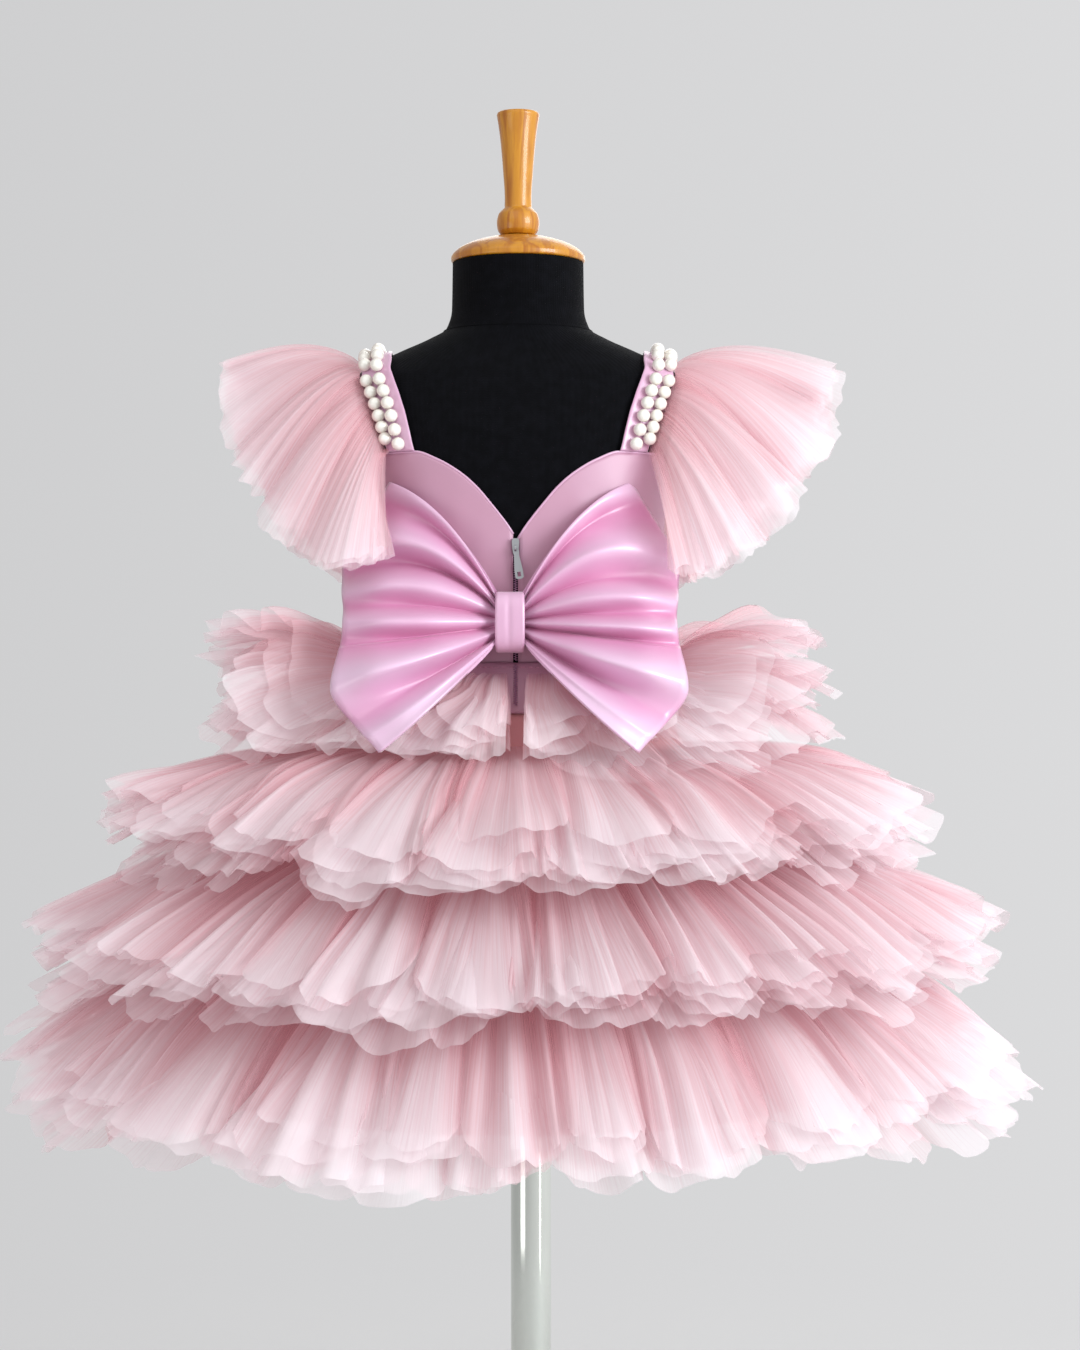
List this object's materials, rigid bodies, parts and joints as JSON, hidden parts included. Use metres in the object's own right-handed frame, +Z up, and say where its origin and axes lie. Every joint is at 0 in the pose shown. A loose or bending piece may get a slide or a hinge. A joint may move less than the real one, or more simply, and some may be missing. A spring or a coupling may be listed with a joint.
{
  "type": "tiered tulle party dress on a limbless dress form",
  "caption": "Knee-length tiered tulle dress with gathered ruffles, flutter sleeves, pearl straps and a large back bow, on a limbless pole-mounted form.",
  "frame": {"origin": "centre of the stand's foot, on the floor", "axes": "+Z up along the pole; -Y is the way the dress's back, with its bow and zip, faces; +X is to the right of someone looking at that back"},
  "size_m": [0.6402, 0.5937, 0.9486],
  "materials": {
    "satin": "satin",
    "bodice_satin": "satin",
    "tulle": "sheer",
    "lining": "matte",
    "form_cloth": "matte",
    "turned_wood": "gloss",
    "stand_metal": "polished",
    "zip_metal": "satin",
    "zip_coil": "satin"
  },
  "bodies": {
    "dress_on_form": {"stand_base": "stand_metal", "stand_pole": "stand_metal", "form_torso": "form_cloth", "neck_cap": "turned_wood", "finial": "turned_wood", "bodice_front": "bodice_satin", "bodice_back_left": "bodice_satin", "bodice_back_right": "bodice_satin", "zip_coil": "zip_coil", "zip_coil_foot": "zip_coil", "zip_slider": "zip_metal", "strap_left": "satin", "strap_right": "satin", "sleeve_left_upper": "tulle", "sleeve_left_under": "tulle", "sleeve_right_upper": "tulle", "sleeve_right_under": "tulle", "underskirt": "lining", "tier_1_upper": "tulle", "tier_1_lower": "tulle", "tier_2_upper": "tulle", "tier_2_lower": "tulle", "tier_3_upper": "tulle", "tier_3_lower": "tulle", "tier_4_upper": "tulle", "tier_4_lower": "tulle", "bow_left": "satin", "bow_right": "satin", "bow_knot": "satin"},
    "pull_tab": {"zip_pull_tab": "zip_metal"}
  },
  "joints": [
    {"name": "pull_tab_hinge", "type": "hinge", "parent": "dress_on_form", "child": "pull_tab", "pos_m": [-0.0089, -0.07647, 0.6753], "axis": [-0.9903, 0, -0.1392], "range_deg": [0, 180]}
  ]
}
